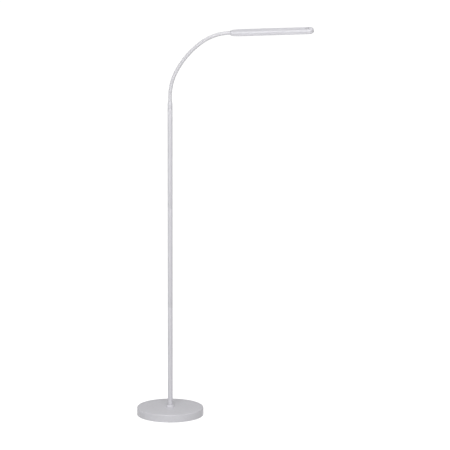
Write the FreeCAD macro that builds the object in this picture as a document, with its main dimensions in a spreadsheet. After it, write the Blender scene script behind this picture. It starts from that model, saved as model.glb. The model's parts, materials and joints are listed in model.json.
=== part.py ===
import FreeCAD, Part
import math
import os

import Sketcher
from FreeCAD import Placement, Rotation, Vector

# Gooseneck reading floor lamp, in millimetres.
# The origin is the centre of the base on the floor, +Z is up and the arm points along +X.

fineSides = 36  # facets round a turned piece that shows
plainSides = 12  # facets round one that is hidden
neckSides = 16  # facets round a vertebra, and round the spigot of the head
leadSides = 8  # facets round a lead

os.makedirs("parts", exist_ok=True)
doc = FreeCAD.newDocument("ReadingLamp")
sheet = doc.addObject("Spreadsheet::Sheet", "Sizes")

SIZES = [
    # base
    ("baseRadius", 115.0, "outside of the pressed steel cover"),
    ("baseHeight", 27.7, "floor to the flat top of the cover"),
    ("baseLift", 1.0, "gap between the cover's skirt and the floor"),
    ("coverWall", 1.2, "steel of the cover"),
    ("coverEdgeRadius", 3.0, "rounding of the cover's top edge"),
    ("padHeight", 3.0, "foam disc under the base"),
    ("padInset", 5.0, "foam disc, in from the inside of the cover"),
    ("plateThickness", 2.0, "bottom plate"),
    ("weightThickness", 12.0, "cast iron disc"),
    ("weightPocketRadius", 20.0, "recess for the nut, under the disc"),
    ("weightPocketDepth", 5.0, "recess for the nut, under the disc"),
    ("bossCircleRadius", 88.0, "circle of the three feet cast on the disc"),
    ("bossRadius", 6.0, "feet cast on the disc"),
    ("baseScrewRadius", 1.65, "screws through the bottom plate"),
    ("baseScrewLength", 8.0, "screws through the bottom plate, under the head"),
    ("baseScrewHeadRadius", 3.3, "screws through the bottom plate"),
    ("baseScrewHeadHeight", 2.2, "screws through the bottom plate"),
    ("cordRadius", 3.0, "mains lead that the grommet is made for"),
    ("grommetHeight", 12.5, "axis of the grommet above the floor"),
    ("grommetFlange", 2.2, "flanges of the grommet, beyond its waist"),
    ("grommetLip", 1.6, "thickness of each flange"),
    ("blockWidth", 20.0, "terminal block"),
    ("blockDepth", 12.0, "terminal block"),
    ("blockHeight", 8.6, "terminal block"),
    ("blockPlace", 50.0, "front of the terminal block, behind the axis"),
    # pole
    ("poleRadius", 8.5, "outside of the pole"),
    ("poleWall", 1.2, "steel of the pole"),
    ("sectionLength", 354.9, "each of the three pole sections"),
    ("sectionCount", 3, "pole sections"),
    ("insertLength", 20.0, "turned inserts in the ends of a section"),
    ("threadRadius", 5.0, "hollow threads that join the sections"),
    ("threadLength", 12.0, "hollow threads that join the sections"),
    ("wireBore", 3.2, "way for the lead through the pole's fittings"),
    ("collarRadius", 13.5, "flared collar at the foot of the pole"),
    ("collarTopRadius", 10.2, "flared collar at the foot of the pole"),
    ("collarHeight", 8.0, "flared collar at the foot of the pole"),
    ("collarRim", 2.4, "upright rim of the collar"),
    ("nutFlats", 17.0, "nut under the base, across flats"),
    ("nutHeight", 6.0, "nut under the base"),
    ("washerRadius", 11.0, "washer under the base"),
    ("washerThickness", 1.2, "washers"),
    ("leadRadius", 2.2, "inner two-core lead"),
    ("leadBend", 6.0, "bend of the inner lead under the pole"),
    # gooseneck
    ("ferruleRadius", 8.4, "ferrule on top of the pole"),
    ("ferruleLength", 25.0, "ferrule on top of the pole"),
    ("ferruleStraight", 12.0, "cylindrical part of the ferrule"),
    ("neckRadius", 6.2, "outside of the gooseneck"),
    ("neckBore", 2.5, "way for the lead through the gooseneck"),
    ("neckGap", 0.45, "play between a dome and its cup"),
    ("cupFloorRadius", 3.3, "flat floor of a cup"),
    ("neckCount", 10, "vertebrae of the gooseneck"),
    ("neckStraight", 12.0, "upright stretch above the ferrule"),
    ("lowerLength", 96.0, "first bend of the gooseneck"),
    ("lowerTurn", 27.5, "degrees"),
    ("middleLength", 147.0, "second bend of the gooseneck"),
    ("middleTurn", 25.0, "degrees"),
    ("upperLength", 109.0, "third bend of the gooseneck"),
    ("upperTurn", 31.5, "degrees"),
    # head
    ("headRoll", 16.0, "degrees that the head is turned about its own length"),
    ("headLength", 300.0, "tail to tip"),
    ("headWidth", 28.0, "across the head"),
    ("headHeight", 17.0, "top to bottom"),
    ("headStart", 5.0, "end of the gooseneck to the tail of the head"),
    ("tailWidth", 17.3, "head at its tail"),
    ("shoulderLength", 31.0, "from the tail to the full width"),
    ("headWall", 2.0, "moulded walls"),
    ("topEdgeWidth", 3.5, "bevel of the upper edges"),
    ("bottomEdgeWidth", 2.4, "bevel of the lower edges"),
    ("spigotRadius", 3.9, "thread that holds the head on the gooseneck"),
    ("spigotLength", 9.0, "thread that holds the head on the gooseneck"),
    ("headNutFlats", 10.4, "nut inside the tail, across flats"),
    ("headNutHeight", 4.0, "nut inside the tail"),
    ("stripStart", 48.0, "first end of the light strip"),
    ("stripLength", 224.0, "light strip"),
    ("boardWidth", 10.0, "light board"),
    ("boardThickness", 1.2, "light board and touch board"),
    ("spreaderWidth", 21.0, "aluminium plate above the light board"),
    ("spreaderThickness", 2.0, "aluminium plate above the light board"),
    ("chipPitch", 10.0, "between light chips"),
    ("chipLength", 3.5, "light chips"),
    ("chipWidth", 2.8, "light chips"),
    ("chipHeight", 0.7, "light chips"),
    ("windowWidth", 15.2, "window in the lower moulding"),
    ("diffuserFlange", 2.1, "flange of the diffuser beyond its window"),
    ("diffuserLip", 1.2, "thickness of that flange"),
    ("reflectorWall", 0.8, "white tray around the chips"),
    ("touchPlace", 21.0, "middle of the touch key, back from the tip"),
    ("touchRadius", 4.9, "touch key"),
    ("touchRingWidth", 0.95, "ring around the touch key"),
    ("touchDepth", 1.0, "recess of the touch key"),
    ("postRadius", 2.6, "posts and bosses in the head"),
    ("screwRadius", 1.1, "screws of the head"),
    ("screwHeadRadius", 2.1, "screws of the head"),
    ("screwHeadHeight", 1.4, "screws of the head"),
    ("tailBossPlace", 26.0, "two bosses near the tail"),
    ("tailBossSpread", 6.0, "two bosses near the tail, off the middle"),
    ("tipBossPlace", 8.0, "boss near the tip, back from the tip"),
    ("spreaderPostSpread", 8.0, "posts of the aluminium plate, off the middle"),
    # fits
    ("slip", 0.3, "clearance of loose fits"),
    ("fit", 0.05, "clearance of close fits and threads"),
]

for row, (alias, value, note) in enumerate(SIZES, start=1):
    sheet.set(f"A{row}", alias)
    sheet.set(f"B{row}", str(value))
    sheet.set(f"C{row}", note)
    sheet.setAlias(f"B{row}", alias)

# Heights and radii that follow from the sizes above.
DERIVED = [
    ("coverInnerRadius", "baseRadius - coverWall"),
    ("coverUnderside", "baseHeight - coverWall"),
    ("weightRadius", "baseRadius - coverWall - grommetLip - 2 * slip"),
    ("weightBottom", "baseHeight - coverWall - weightThickness"),
    ("plateTop", "padHeight + plateThickness"),
    ("bossHeight", "weightBottom - plateTop"),
    ("pocketTop", "weightBottom + weightPocketDepth"),
    ("washerBottom", "pocketTop - washerThickness"),
    ("nutBottom", "washerBottom - nutHeight"),
    ("studTop", "baseHeight + threadLength"),
    ("poleBore", "poleRadius - poleWall"),
    ("poleTop", "baseHeight + sectionCount * sectionLength"),
    ("threadHole", "threadRadius + fit"),
    ("threadDepth", "threadLength + 1"),
    ("insertRadius", "poleBore - fit"),
    ("grommetBore", "cordRadius + 0.2"),
    ("grommetWaist", "grommetBore + 1.7"),
    ("leadHeight", "plateTop + leadRadius + 0.1"),
    ("cupRadius", "neckRadius + neckGap"),
    ("cupLipRadius", "neckRadius - 0.25"),
    ("cupLip", "sqrt(cupRadius ^ 2 - cupLipRadius ^ 2)"),
    ("cupMiddleRadius", "0.72 * cupRadius"),
    ("cupMiddle", "sqrt(cupRadius ^ 2 - cupMiddleRadius ^ 2)"),
    ("cupFloor", "sqrt(cupRadius ^ 2 - cupFloorRadius ^ 2)"),
    ("domeMiddleRadius", "0.88 * neckRadius"),
    ("domeMiddle", "sqrt(neckRadius ^ 2 - domeMiddleRadius ^ 2)"),
    ("domeTipRadius", "0.63 * neckRadius"),
    ("domeTip", "sqrt(neckRadius ^ 2 - domeTipRadius ^ 2)"),
    ("leadStop", "cupRadius"),
    ("neckFoot", "poleTop + ferruleLength + cupLip"),
    ("headHalf", "headWidth / 2"),
    ("headEnd", "headStart + headLength"),
    ("halfHeight", "headHeight / 2"),
    ("innerHalfHeight", "halfHeight - headWall"),
    ("shoulderRise", "(headWidth - tailWidth) / 2"),
    ("shoulderRadius", "(shoulderLength ^ 2 + shoulderRise ^ 2) / (2 * shoulderRise)"),
    ("spreaderTop", "spreaderThickness / 2"),
    ("boardTop", "-spreaderThickness / 2"),
    ("boardBottom", "boardTop - boardThickness"),
    ("flangeTop", "diffuserLip - innerHalfHeight"),
    ("stripEnd", "stripStart + stripLength"),
    ("touchX", "headEnd - touchPlace"),
    ("tipBossX", "headEnd - tipBossPlace"),
]

for row, (alias, formula) in enumerate(DERIVED, start=len(SIZES) + 1):
    sheet.set(f"A{row}", alias)
    sheet.set(f"B{row}", "=" + formula)
    sheet.setAlias(f"B{row}", alias)
doc.recompute()


def size(alias):
    """A size of the sheet, as a number."""
    return float(sheet.get(alias))


def bound(text):
    """An expression on the sheet's aliases, written with the sheet's name before each."""
    aliases = sorted((a for a, *_ in SIZES + DERIVED), key=len, reverse=True)
    words, word = [], ""
    for letter in text + " ":
        if letter.isalnum():
            word += letter
            continue
        words.append("Sizes." + word if word in aliases else word)
        words.append(letter)
        word = ""
    return "".join(words).strip()


known = {}


def value(text):
    """What such an expression comes to."""
    if text not in known:
        sheet.set("E1", "=" + text)
        sheet.recompute()
        found = sheet.get("E1")
        known[text] = float(getattr(found, "Value", found))
    return known[text]


# ---- sketches ----

def new_body(label):
    body = doc.addObject("PartDesign::Body", label)
    body.Label = label
    return body


def new_sketch(body, plane, name, offset=None):
    """A sketch on one of the body's own origin planes; offset is (property, expression)."""
    sketch = body.newObject("Sketcher::SketchObject", f"{body.Name}_{name}")
    face = [f for f in body.Origin.OriginFeatures if f.Role == plane][0]
    sketch.AttachmentSupport = [(face, "")]
    sketch.MapMode = "FlatFace"
    if offset:
        sketch.setExpression("AttachmentOffset.Base.z", bound(offset))
    return sketch


def fix_point(sketch, geometry, end, x, y):
    """Holds one point of a sketch at two expressions."""
    for kind, axis, text in (("DistanceX", -2, x), ("DistanceY", -1, y)):
        if abs(value(text)) < 1e-9:
            sketch.addConstraint(Sketcher.Constraint("PointOnObject", geometry, end, axis))
            continue
        rule = Sketcher.Constraint(kind, -1, 1, geometry, end, value(text))
        sketch.setExpression(f"Constraints[{sketch.addConstraint(rule)}]", bound(text))


def outline(sketch, points):
    """A closed outline. A point is (x, y) and a line leads to the next, or (x, y, radius, side) where
    an arc of that radius does, bulging to the left (1) or the right (-1) of the way to the next."""
    spots = [Vector(value(p[0]), value(p[1]), 0) for p in points]
    edges = []
    for i, point in enumerate(points):
        here, there = spots[i], spots[(i + 1) % len(points)]
        if len(point) == 2:
            edges.append(Part.LineSegment(here, there))
            continue
        radius, side = value(point[2]), point[3]
        chord = there - here
        left = Vector(-chord.y, chord.x, 0).normalize()
        half = chord.Length / 2
        rise = radius - math.sqrt(max(radius**2 - half**2, 0))
        edges.append(Part.Arc(here, (here + there) * 0.5 + left * (side * rise), there))
    first = sketch.GeometryCount
    sketch.addGeometry(edges, False)
    forward = [len(p) == 2 or sketch.Geometry[first + i].StartPoint.distanceToPoint(spots[i]) < 1e-6
               for i, p in enumerate(points)]
    for i in range(len(points)):
        after = (i + 1) % len(points)
        ends = (2 if forward[i] else 1, 1 if forward[after] else 2)
        sketch.addConstraint(Sketcher.Constraint("Coincident", first + i, ends[0], first + after, ends[1]))
    for i, point in enumerate(points):
        fix_point(sketch, first + i, 1 if forward[i] else 2, point[0], point[1])
        if len(point) == 2:
            continue
        if abs(spots[i].distanceToPoint(spots[(i + 1) % len(points)]) / 2 - value(point[2])) < 1e-6:
            # a half circle is held by its centre, level with its ends
            rule = Sketcher.Constraint("DistanceX", -1, 1, first + i, 3, value(point[0]))
            size_text = point[0]
        else:
            rule, size_text = Sketcher.Constraint("Radius", first + i, value(point[2])), point[2]
        sketch.setExpression(f"Constraints[{sketch.addConstraint(rule)}]", bound(size_text))


def circle(sketch, radius, x="0", y="0"):
    spot = Vector(value(x), value(y), 0)
    index = sketch.addGeometry(Part.Circle(spot, Vector(0, 0, 1), value(radius)), False)
    fix_point(sketch, index, 3, x, y)
    rule = Sketcher.Constraint("Radius", index, value(radius))
    sketch.setExpression(f"Constraints[{sketch.addConstraint(rule)}]", bound(radius))


def facets(sketch, radius, x="0", y="0", sides=leadSides):
    """A small circle drawn as a polygon, for fasteners, their holes and their bosses."""
    turns = [360 * n / sides for n in range(sides)]
    outline(sketch, [(f"{x} + ({radius}) * cos({t})", f"{y} + ({radius}) * sin({t})") for t in turns])


def slot_points(start, end, half):
    """A slot with round ends along X, for outline."""
    return [
        (f"{start} + {half}", f"-({half})"),
        (f"{end} - ({half})", f"-({half})", half, -1),
        (f"{end} - ({half})", f"0 + {half}"),
        (f"{start} + {half}", f"0 + {half}", half, -1),
    ]


# ---- features ----

def revolved(label, points):
    """A round turned piece: its half section, on the XZ plane, turned about the sketch's own axis."""
    body = new_body(label)
    sketch = new_sketch(body, "XZ_Plane", "section")
    outline(sketch, points)
    turning = body.newObject("PartDesign::Revolution", label + "_turning")
    turning.Profile = sketch
    turning.ReferenceAxis = (sketch, ["V_Axis"])
    turning.Angle = 360
    return body


def turned(label, points, sides, about_x=False):
    """A turned piece with flat facets. A point of its half section is (radius, height), or
    (x, radius) for a piece about the X axis."""
    rings = []
    for text in points:
        first, second = value(text[0]), value(text[1])
        if about_x:
            rings.append(ring_at(Vector(first, 0, 0), Vector(1, 0, 0), second, sides=sides))
        else:
            rings.append(ring_at(Vector(0, 0, second), Vector(0, 0, 1), first, Vector(1, 0, 0), sides))
    return plain_feature(label, skin(rings + rings[:1]))


def ring_at(place, along, radius, side=Vector(0, 1, 0), sides=neckSides):
    """The corners of a ring square to along, started on side so that rings line up."""
    up = along.cross(side)
    turns = [2 * math.pi * n / sides for n in range(sides)]
    return [place + side * (radius * math.cos(t)) + up * (radius * math.sin(t)) for t in turns]


def skin(rings):
    """A solid of flat facets through rings of corners: a loop where the last ring is the first,
    and otherwise closed by a flat end at each."""
    faces = []
    for low, high in zip(rings, rings[1:]):
        for n in range(len(low)):
            a, b, c, d = low[n - 1], low[n], high[n], high[n - 1]
            flat = abs((b - a).cross(c - a).dot(d - a)) < 1e-7
            for corners in ([a, b, c, d],) if flat else ([a, b, c], [a, c, d]):
                faces.append(Part.Face(Part.makePolygon(corners + corners[:1])))
    if rings[0] is not rings[-1]:
        faces += [Part.Face(Part.makePolygon(ring + ring[:1])) for ring in (rings[0], rings[-1])]
    shell = Part.makeShell(faces)
    shell.sewShape()
    solid = Part.Solid(Part.Shell(shell.Faces)).removeSplitter()
    if solid.Volume < 0:
        solid.reverse()
    return solid


def plain_feature(label, shape):
    feature = doc.addObject("Part::Feature", label)
    feature.Label = label
    feature.Shape = shape
    return feature


def padded(body, sketch, length, down=False):
    pad = body.newObject("PartDesign::Pad", sketch.Name + "_pad")
    pad.Profile = sketch
    pad.setExpression("Length", bound(length))
    pad.Reversed = down
    return pad


def pocketed(body, sketch, length, flipped=False):
    """A pocket, checked to have taken something away."""
    doc.recompute()
    before = body.Shape.Volume
    pocket = body.newObject("PartDesign::Pocket", sketch.Name + "_pocket")
    pocket.Profile = sketch
    pocket.setExpression("Length", bound(length))
    pocket.Reversed = flipped
    doc.recompute()
    if body.Shape.Volume > before - 1e-3:
        raise RuntimeError(f"{sketch.Name} cuts nothing")
    return pocket


def bevelled(body, feature, width, wanted):
    """A chamfer on the edges of a feature that wanted picks."""
    doc.recompute()
    names = [f"Edge{n}" for n, e in enumerate(feature.Shape.Edges, start=1) if wanted(e)]
    chamfer = body.newObject("PartDesign::Chamfer", f"{body.Name}_bevel")
    chamfer.Base = (feature, names)
    chamfer.setExpression("Size", bound(width))
    return chamfer


def around(body, features, count, name="around"):
    """Copies of features, turned about the body's Z axis."""
    pattern = body.newObject("PartDesign::PolarPattern", f"{body.Name}_{name}")
    pattern.Originals = features
    axis = [f for f in body.Origin.OriginFeatures if f.Role == "Z_Axis"][0]
    pattern.Axis = (axis, [""])
    pattern.Angle = 360
    pattern.Occurrences = count
    body.Tip = pattern
    return pattern


def stacked(feature, step, count):
    """Copies of a piece, one above the other, in one compound."""
    gap = Vector(0, 0, value(step))
    feature.Shape = Part.makeCompound([feature.Shape.translated(gap * n) for n in range(count)])
    return feature


def raise_to(body, height):
    body.setExpression("Placement.Base.z", bound(height))


def box(label, x, y, z, length, width, height):
    """A plain block with one corner at x, y, z."""
    block = doc.addObject("Part::Box", label)
    block.Label = label
    for name, text in (("Length", length), ("Width", width), ("Height", height)):
        block.setExpression(name, bound(text))
    for name, text in (("x", x), ("y", y), ("z", z)):
        block.setExpression(f"Placement.Base.{name}", bound(text))
    return block


# ---- base ----

def base_cover():
    """Pressed steel cover: flat top, upright skirt, hole for the stud and one for the grommet."""
    body = revolved("base_cover", [
        ("threadHole + slip", "coverUnderside"),
        ("coverInnerRadius", "coverUnderside"),
        ("coverInnerRadius", "baseLift"),
        ("baseRadius", "baseLift"),
        ("baseRadius", "baseHeight - coverEdgeRadius"),
        ("baseRadius - 0.29 * coverEdgeRadius", "baseHeight - 0.29 * coverEdgeRadius"),
        ("baseRadius - coverEdgeRadius", "baseHeight"),
        ("threadHole + slip", "baseHeight"),
    ])
    hole = new_sketch(body, "XZ_Plane", "cord_hole")
    circle(hole, "grommetWaist + fit", "0", "grommetHeight")
    pocketed(body, hole, "baseRadius + 1")
    return body


def boss_spot(radius):
    """The first of the three feet, 30 degrees round from the X axis."""
    return f"{radius} * cos(30)", f"{radius} * sin(30)"


def base_weight():
    """Cast iron disc with a recess for the nut and three feet that the bottom plate screws to."""
    body = new_body("base_weight")
    disc = new_sketch(body, "XY_Plane", "disc")
    circle(disc, "weightRadius")
    circle(disc, "threadHole + slip")
    padded(body, disc, "weightThickness")
    recess = new_sketch(body, "XY_Plane", "recess")
    circle(recess, "weightPocketRadius")
    pocketed(body, recess, "weightPocketDepth", flipped=True)
    foot = new_sketch(body, "XY_Plane", "foot")
    facets(foot, "bossRadius", *boss_spot("bossCircleRadius"))
    feet = padded(body, foot, "bossHeight", down=True)
    pilot = new_sketch(body, "XY_Plane", "pilot", "-bossHeight")
    facets(pilot, "baseScrewRadius + fit", *boss_spot("bossCircleRadius"))
    pilots = pocketed(body, pilot, "baseScrewLength - plateThickness + 1", flipped=True)
    around(body, [feet, pilots], 3)
    raise_to(body, "weightBottom")
    return body


def base_plate():
    """Bottom plate, screwed to the feet of the disc."""
    body = new_body("base_plate")
    disc = new_sketch(body, "XY_Plane", "disc")
    circle(disc, "coverInnerRadius - slip")
    padded(body, disc, "plateThickness")
    hole = new_sketch(body, "XY_Plane", "screw_hole")
    facets(hole, "baseScrewRadius + slip", *boss_spot("bossCircleRadius"))
    around(body, [pocketed(body, hole, "plateThickness", flipped=True)], 3)
    raise_to(body, "padHeight")
    return body


def base_pad():
    """Foam disc that the lamp stands on, with holes round the screw heads."""
    body = new_body("base_pad")
    disc = new_sketch(body, "XY_Plane", "disc")
    circle(disc, "coverInnerRadius - padInset")
    padded(body, disc, "padHeight")
    hole = new_sketch(body, "XY_Plane", "screw_hole")
    facets(hole, "baseScrewHeadRadius + 0.7", *boss_spot("bossCircleRadius"))
    around(body, [pocketed(body, hole, "padHeight", flipped=True)], 3)
    return body


def base_screws():
    """Three pan-head screws through the bottom plate."""
    body = new_body("base_screws")
    body.AllowCompound = True
    shank = new_sketch(body, "XY_Plane", "shank")
    facets(shank, "baseScrewRadius", *boss_spot("bossCircleRadius"))
    shanks = padded(body, shank, "baseScrewLength")
    head = new_sketch(body, "XY_Plane", "head")
    facets(head, "baseScrewHeadRadius", *boss_spot("bossCircleRadius"))
    heads = padded(body, head, "baseScrewHeadHeight", down=True)
    around(body, [shanks, heads], 3)
    raise_to(body, "padHeight")
    return body


def cord_grommet():
    """Rubber grommet in the skirt at the back: a waist in the hole and a flange on each side."""
    outer, inner = "baseRadius + fit", "coverInnerRadius - slip"
    body = revolved("cord_grommet", [
        ("grommetBore", f"{inner} - grommetLip"),
        ("grommetWaist + grommetFlange", f"{inner} - grommetLip"),
        ("grommetWaist + grommetFlange", inner),
        ("grommetWaist", inner),
        ("grommetWaist", outer),
        ("grommetWaist + grommetFlange", outer),
        ("grommetWaist + grommetFlange", f"{outer} + grommetLip"),
        ("grommetBore", f"{outer} + grommetLip"),
    ])
    body.Placement = Placement(Vector(0, 0, 0), Rotation(Vector(1, 0, 0), -90))
    raise_to(body, "grommetHeight")
    return body


def terminal_block():
    """Two-way block on the bottom plate, where the mains lead meets the inner lead."""
    return box("terminal_block", "-blockWidth / 2", "blockPlace", "plateTop",
               "blockWidth", "blockDepth", "blockHeight")


# ---- pole ----

def pole_section(label, below):
    """One steel tube of the pole, with a number of sections below it."""
    body = new_body(label)
    ring = new_sketch(body, "XY_Plane", "ring")
    circle(ring, "poleRadius")
    circle(ring, "poleBore")
    padded(body, ring, "sectionLength")
    raise_to(body, f"baseHeight + {below} * sectionLength")
    return body


def pole_sockets():
    """Turned inserts with an inside thread, one in the lower end of each section."""
    body = turned("pole_sockets", [
        ("threadHole", "0"),
        ("insertRadius", "0"),
        ("insertRadius", "insertLength"),
        ("wireBore", "insertLength"),
        ("wireBore", "threadDepth"),
        ("threadHole", "threadDepth"),
    ], plainSides)
    stacked(body, "sectionLength", int(size("sectionCount")))
    raise_to(body, "baseHeight")
    return body


def pole_studs():
    """Turned inserts with an outside thread, one in the upper end of each section."""
    body = turned("pole_studs", [
        ("wireBore", "-insertLength"),
        ("insertRadius", "-insertLength"),
        ("insertRadius", "0"),
        ("threadRadius", "0"),
        ("threadRadius", "threadLength"),
        ("wireBore", "threadLength"),
    ], plainSides)
    stacked(body, "sectionLength", int(size("sectionCount")))
    raise_to(body, "baseHeight + sectionLength")
    return body


def pole_collar():
    """Flared collar that hides the joint of pole and base."""
    return raised_turning("pole_collar", "baseHeight", [
        ("poleRadius + slip", "0"),
        ("collarRadius", "0"),
        *crowned("collarRadius", "collarTopRadius", "collarRim", "collarHeight"),
        ("poleRadius + slip", "collarHeight"),
    ], fineSides)


def crowned(wide, narrow, low, high):
    """A side that is upright at the wide end and curves in to the narrow one, in three runs."""
    return [(f"{wide} - ({wide} - ({narrow})) * {share ** 2}", f"{low} + ({high} - ({low})) * {share}")
            for share in (0, 1 / 3, 2 / 3, 1)]


def raised_turning(label, height, points, sides):
    body = turned(label, points, sides)
    raise_to(body, height)
    return body


def base_stud():
    """Hollow threaded rod that clamps base and pole."""
    return turned("base_stud", [
        ("wireBore", "nutBottom"),
        ("threadRadius", "nutBottom"),
        ("threadRadius", "studTop"),
        ("wireBore", "studTop"),
    ], plainSides)


def base_washer():
    return raised_turning("base_washer", "washerBottom", [
        ("threadHole + slip", "0"),
        ("washerRadius", "0"),
        ("washerRadius", "washerThickness"),
        ("threadHole + slip", "washerThickness"),
    ], plainSides)


def hexagon(sketch, flats):
    """A hexagon across flats, with two flats square to the sketch's Y axis."""
    corner = f"({flats} / 2 / cos(30))"
    outline(sketch, [
        (f"{corner} * {round(math.cos(math.radians(60 * n)), 1)}",
         f"{flats} / 2 * {round(math.sin(math.radians(60 * n)) / math.cos(math.radians(30)))}")
        for n in range(6)
    ])


def base_nut():
    """Hexagon nut on the lower end of the stud."""
    body = new_body("base_nut")
    ring = new_sketch(body, "XY_Plane", "hexagon")
    hexagon(ring, "nutFlats")
    facets(ring, "threadHole", sides=plainSides)
    padded(body, ring, "nutHeight")
    raise_to(body, "nutBottom")
    return body


def lead(label, points, radius, side):
    """A lead along straight runs and bends in the plane that side is square to: points are
    (place, bend radius or 0)."""
    on = (points[1][0] - points[0][0]).normalize()
    rings = [ring_at(points[0][0], on, radius, side, leadSides)]
    for i in range(1, len(points) - 1):
        here, bend = points[i]
        back = (points[i - 1][0] - here).normalize()
        on = (points[i + 1][0] - here).normalize()
        half = back.getAngle(on) / 2
        centre = here + (back + on).normalize() * (bend / math.sin(half))
        first = (here + back * (bend / math.tan(half)) - centre).normalize()
        last = (here + on * (bend / math.tan(half)) - centre).normalize()
        sweep = first.getAngle(last)
        sense = -1 if side.cross(first).dot(back) > 0 else 1
        for share in (0, 1 / 3, 2 / 3, 1):
            spoke = first * math.sin((1 - share) * sweep) + last * math.sin(share * sweep)
            spoke.normalize()
            rings.append(ring_at(centre + spoke * bend, side.cross(spoke) * sense, radius, side, leadSides))
    rings.append(ring_at(points[-1][0], on, radius, side, leadSides))
    return plain_feature(label, skin(rings))


def pole_lead():
    """Inner lead: from the terminal block under the base, up through the pole to the gooseneck."""
    low = size("leadHeight")
    points = [
        (Vector(0, size("blockPlace"), low), 0),
        (Vector(0, 0, low), size("leadBend")),
        (Vector(0, 0, size("neckFoot") - size("leadStop")), 0),
    ]
    return lead("pole_lead", points, size("leadRadius"), Vector(1, 0, 0))


# ---- gooseneck ----

def neck_ferrule():
    """Tapered ferrule on the pole's top thread, with a cup for the first vertebra."""
    foot = "-ferruleLength - cupLip"
    return raised_turning("neck_ferrule", "neckFoot", [
        ("cupLipRadius", "-cupLip"),
        ("cupMiddleRadius", "-cupMiddle"),
        ("cupFloorRadius", "-cupFloor"),
        ("neckBore", "-cupFloor"),
        ("neckBore", f"{foot} + threadDepth"),
        ("threadHole", f"{foot} + threadDepth"),
        ("threadHole", foot),
        ("ferruleRadius", foot),
        *crowned("ferruleRadius", "neckRadius + 0.2", f"{foot} + ferruleStraight", "-cupLip"),
    ], fineSides)


def neck_frame(distance):
    """The rest shape of the gooseneck: the point at a distance along it and its lean from upright."""
    x, z, lean = 0.0, size("neckFoot"), 0.0
    stretches = [(size("neckStraight"), 0.0)]
    stretches += [(size(f"{s}Length"), math.radians(size(f"{s}Turn"))) for s in ("lower", "middle", "upper")]
    for length, turn in stretches:
        part = min(distance, length)
        bend = turn * part / length
        if bend:
            radius = length / turn
            x += radius * (math.cos(lean) - math.cos(lean + bend))
            z += radius * (math.sin(lean + bend) - math.sin(lean))
        else:
            x += part * math.sin(lean)
            z += part * math.cos(lean)
        lean += bend
        distance -= part
    return Vector(x, 0, z), lean


def neck_length():
    return sum(size(a) for a in ("neckStraight", "lowerLength", "middleLength", "upperLength"))


def pivot(number):
    """The middle of a dome: 0 in the ferrule, and the last under the head."""
    return neck_frame(neck_length() * number / size("neckCount"))


def heading(lean):
    return Vector(math.sin(lean), 0, math.cos(lean))


def rod(low, high, radius):
    """A straight rod of facets between two places."""
    along = (high - low).normalize()
    return skin([ring_at(low, along, size(radius)), ring_at(high, along, size(radius))])


def gooseneck(number):
    """One vertebra: a domed foot, a barrel that follows the curve and a cup for the next dome."""
    foot, foot_lean = pivot(number - 1)
    top, top_lean = pivot(number)
    up, on = heading(foot_lean), heading(top_lean)
    radius = size("neckRadius")
    rings = [
        ring_at(foot - up * size("domeTip"), up, size("domeTipRadius")),
        ring_at(foot - up * size("domeMiddle"), up, size("domeMiddleRadius")),
        ring_at(foot, up, radius),
    ]
    start = neck_length() * (number - 1) / size("neckCount")
    end = neck_length() * number / size("neckCount") - size("cupLip")
    for share in (1 / 3, 2 / 3):
        place, lean = neck_frame(start + (end - start) * share)
        rings.append(ring_at(place, heading(lean), radius))
    rings.append(ring_at(top - on * size("cupLip"), on, radius))
    rings += [
        ring_at(top - on * size("cupLip"), on, size("cupLipRadius")),
        ring_at(top - on * size("cupMiddle"), on, size("cupMiddleRadius")),
        ring_at(top - on * size("cupFloor"), on, size("cupFloorRadius")),
        ring_at(top - on * size("cupFloor"), on, size("neckBore")),
        ring_at(foot - up * size("domeTip"), up, size("neckBore")),
    ]
    return plain_feature(f"gooseneck_{number:02d}", skin(rings + rings[:1]))


def neck_lead(number):
    """The stretch of the inner lead that one vertebra holds."""
    foot, foot_lean = pivot(number - 1)
    top, top_lean = pivot(number)
    low = foot - heading(foot_lean) * size("domeTip")
    high = top - heading(top_lean) * size("leadStop")
    return plain_feature(f"neck_lead_{number:02d}", rod(low, high, "leadRadius"))


# ---- head: built along X from the last pivot, and placed on the end of the gooseneck ----

def head_placement():
    place, lean = pivot(size("neckCount"))
    pitch = Rotation(Vector(0, 1, 0), math.degrees(lean) - 90)
    roll = Rotation(Vector(1, 0, 0), size("headRoll"))
    return Placement(place, pitch.multiply(roll))


def neck_connector():
    """End fitting of the gooseneck: dome, groove, flange against the head and threaded spigot."""
    return turned("neck_connector", [
        ("-domeTip", "neckBore"),
        ("-domeTip", "domeTipRadius"),
        ("-domeMiddle", "domeMiddleRadius"),
        ("0", "neckRadius"),
        ("headStart - 3.5", "neckRadius"),
        ("headStart - 3.5", "neckRadius - 1"),
        ("headStart - 2", "neckRadius - 1"),
        ("headStart - 2", "tailWidth / 2 - 0.5"),
        ("headStart", "tailWidth / 2 - 0.5"),
        ("headStart", "spigotRadius"),
        ("headStart + spigotLength", "spigotRadius"),
        ("headStart + spigotLength", "neckBore"),
    ], neckSides, True)


def connector_washer():
    inside = "headStart + headWall"
    return turned("connector_washer", [
        (inside, "spigotRadius + slip"),
        (inside, "headNutFlats / 2"),
        (f"{inside} + washerThickness", "headNutFlats / 2"),
        (f"{inside} + washerThickness", "spigotRadius + slip"),
    ], neckSides, True)


def connector_nut():
    body = new_body("connector_nut")
    ring = new_sketch(body, "YZ_Plane", "hexagon", "headStart + headWall + washerThickness")
    hexagon(ring, "headNutFlats")
    facets(ring, "spigotRadius + fit", sides=neckSides)
    padded(body, ring, "headNutHeight")
    return body


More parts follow.
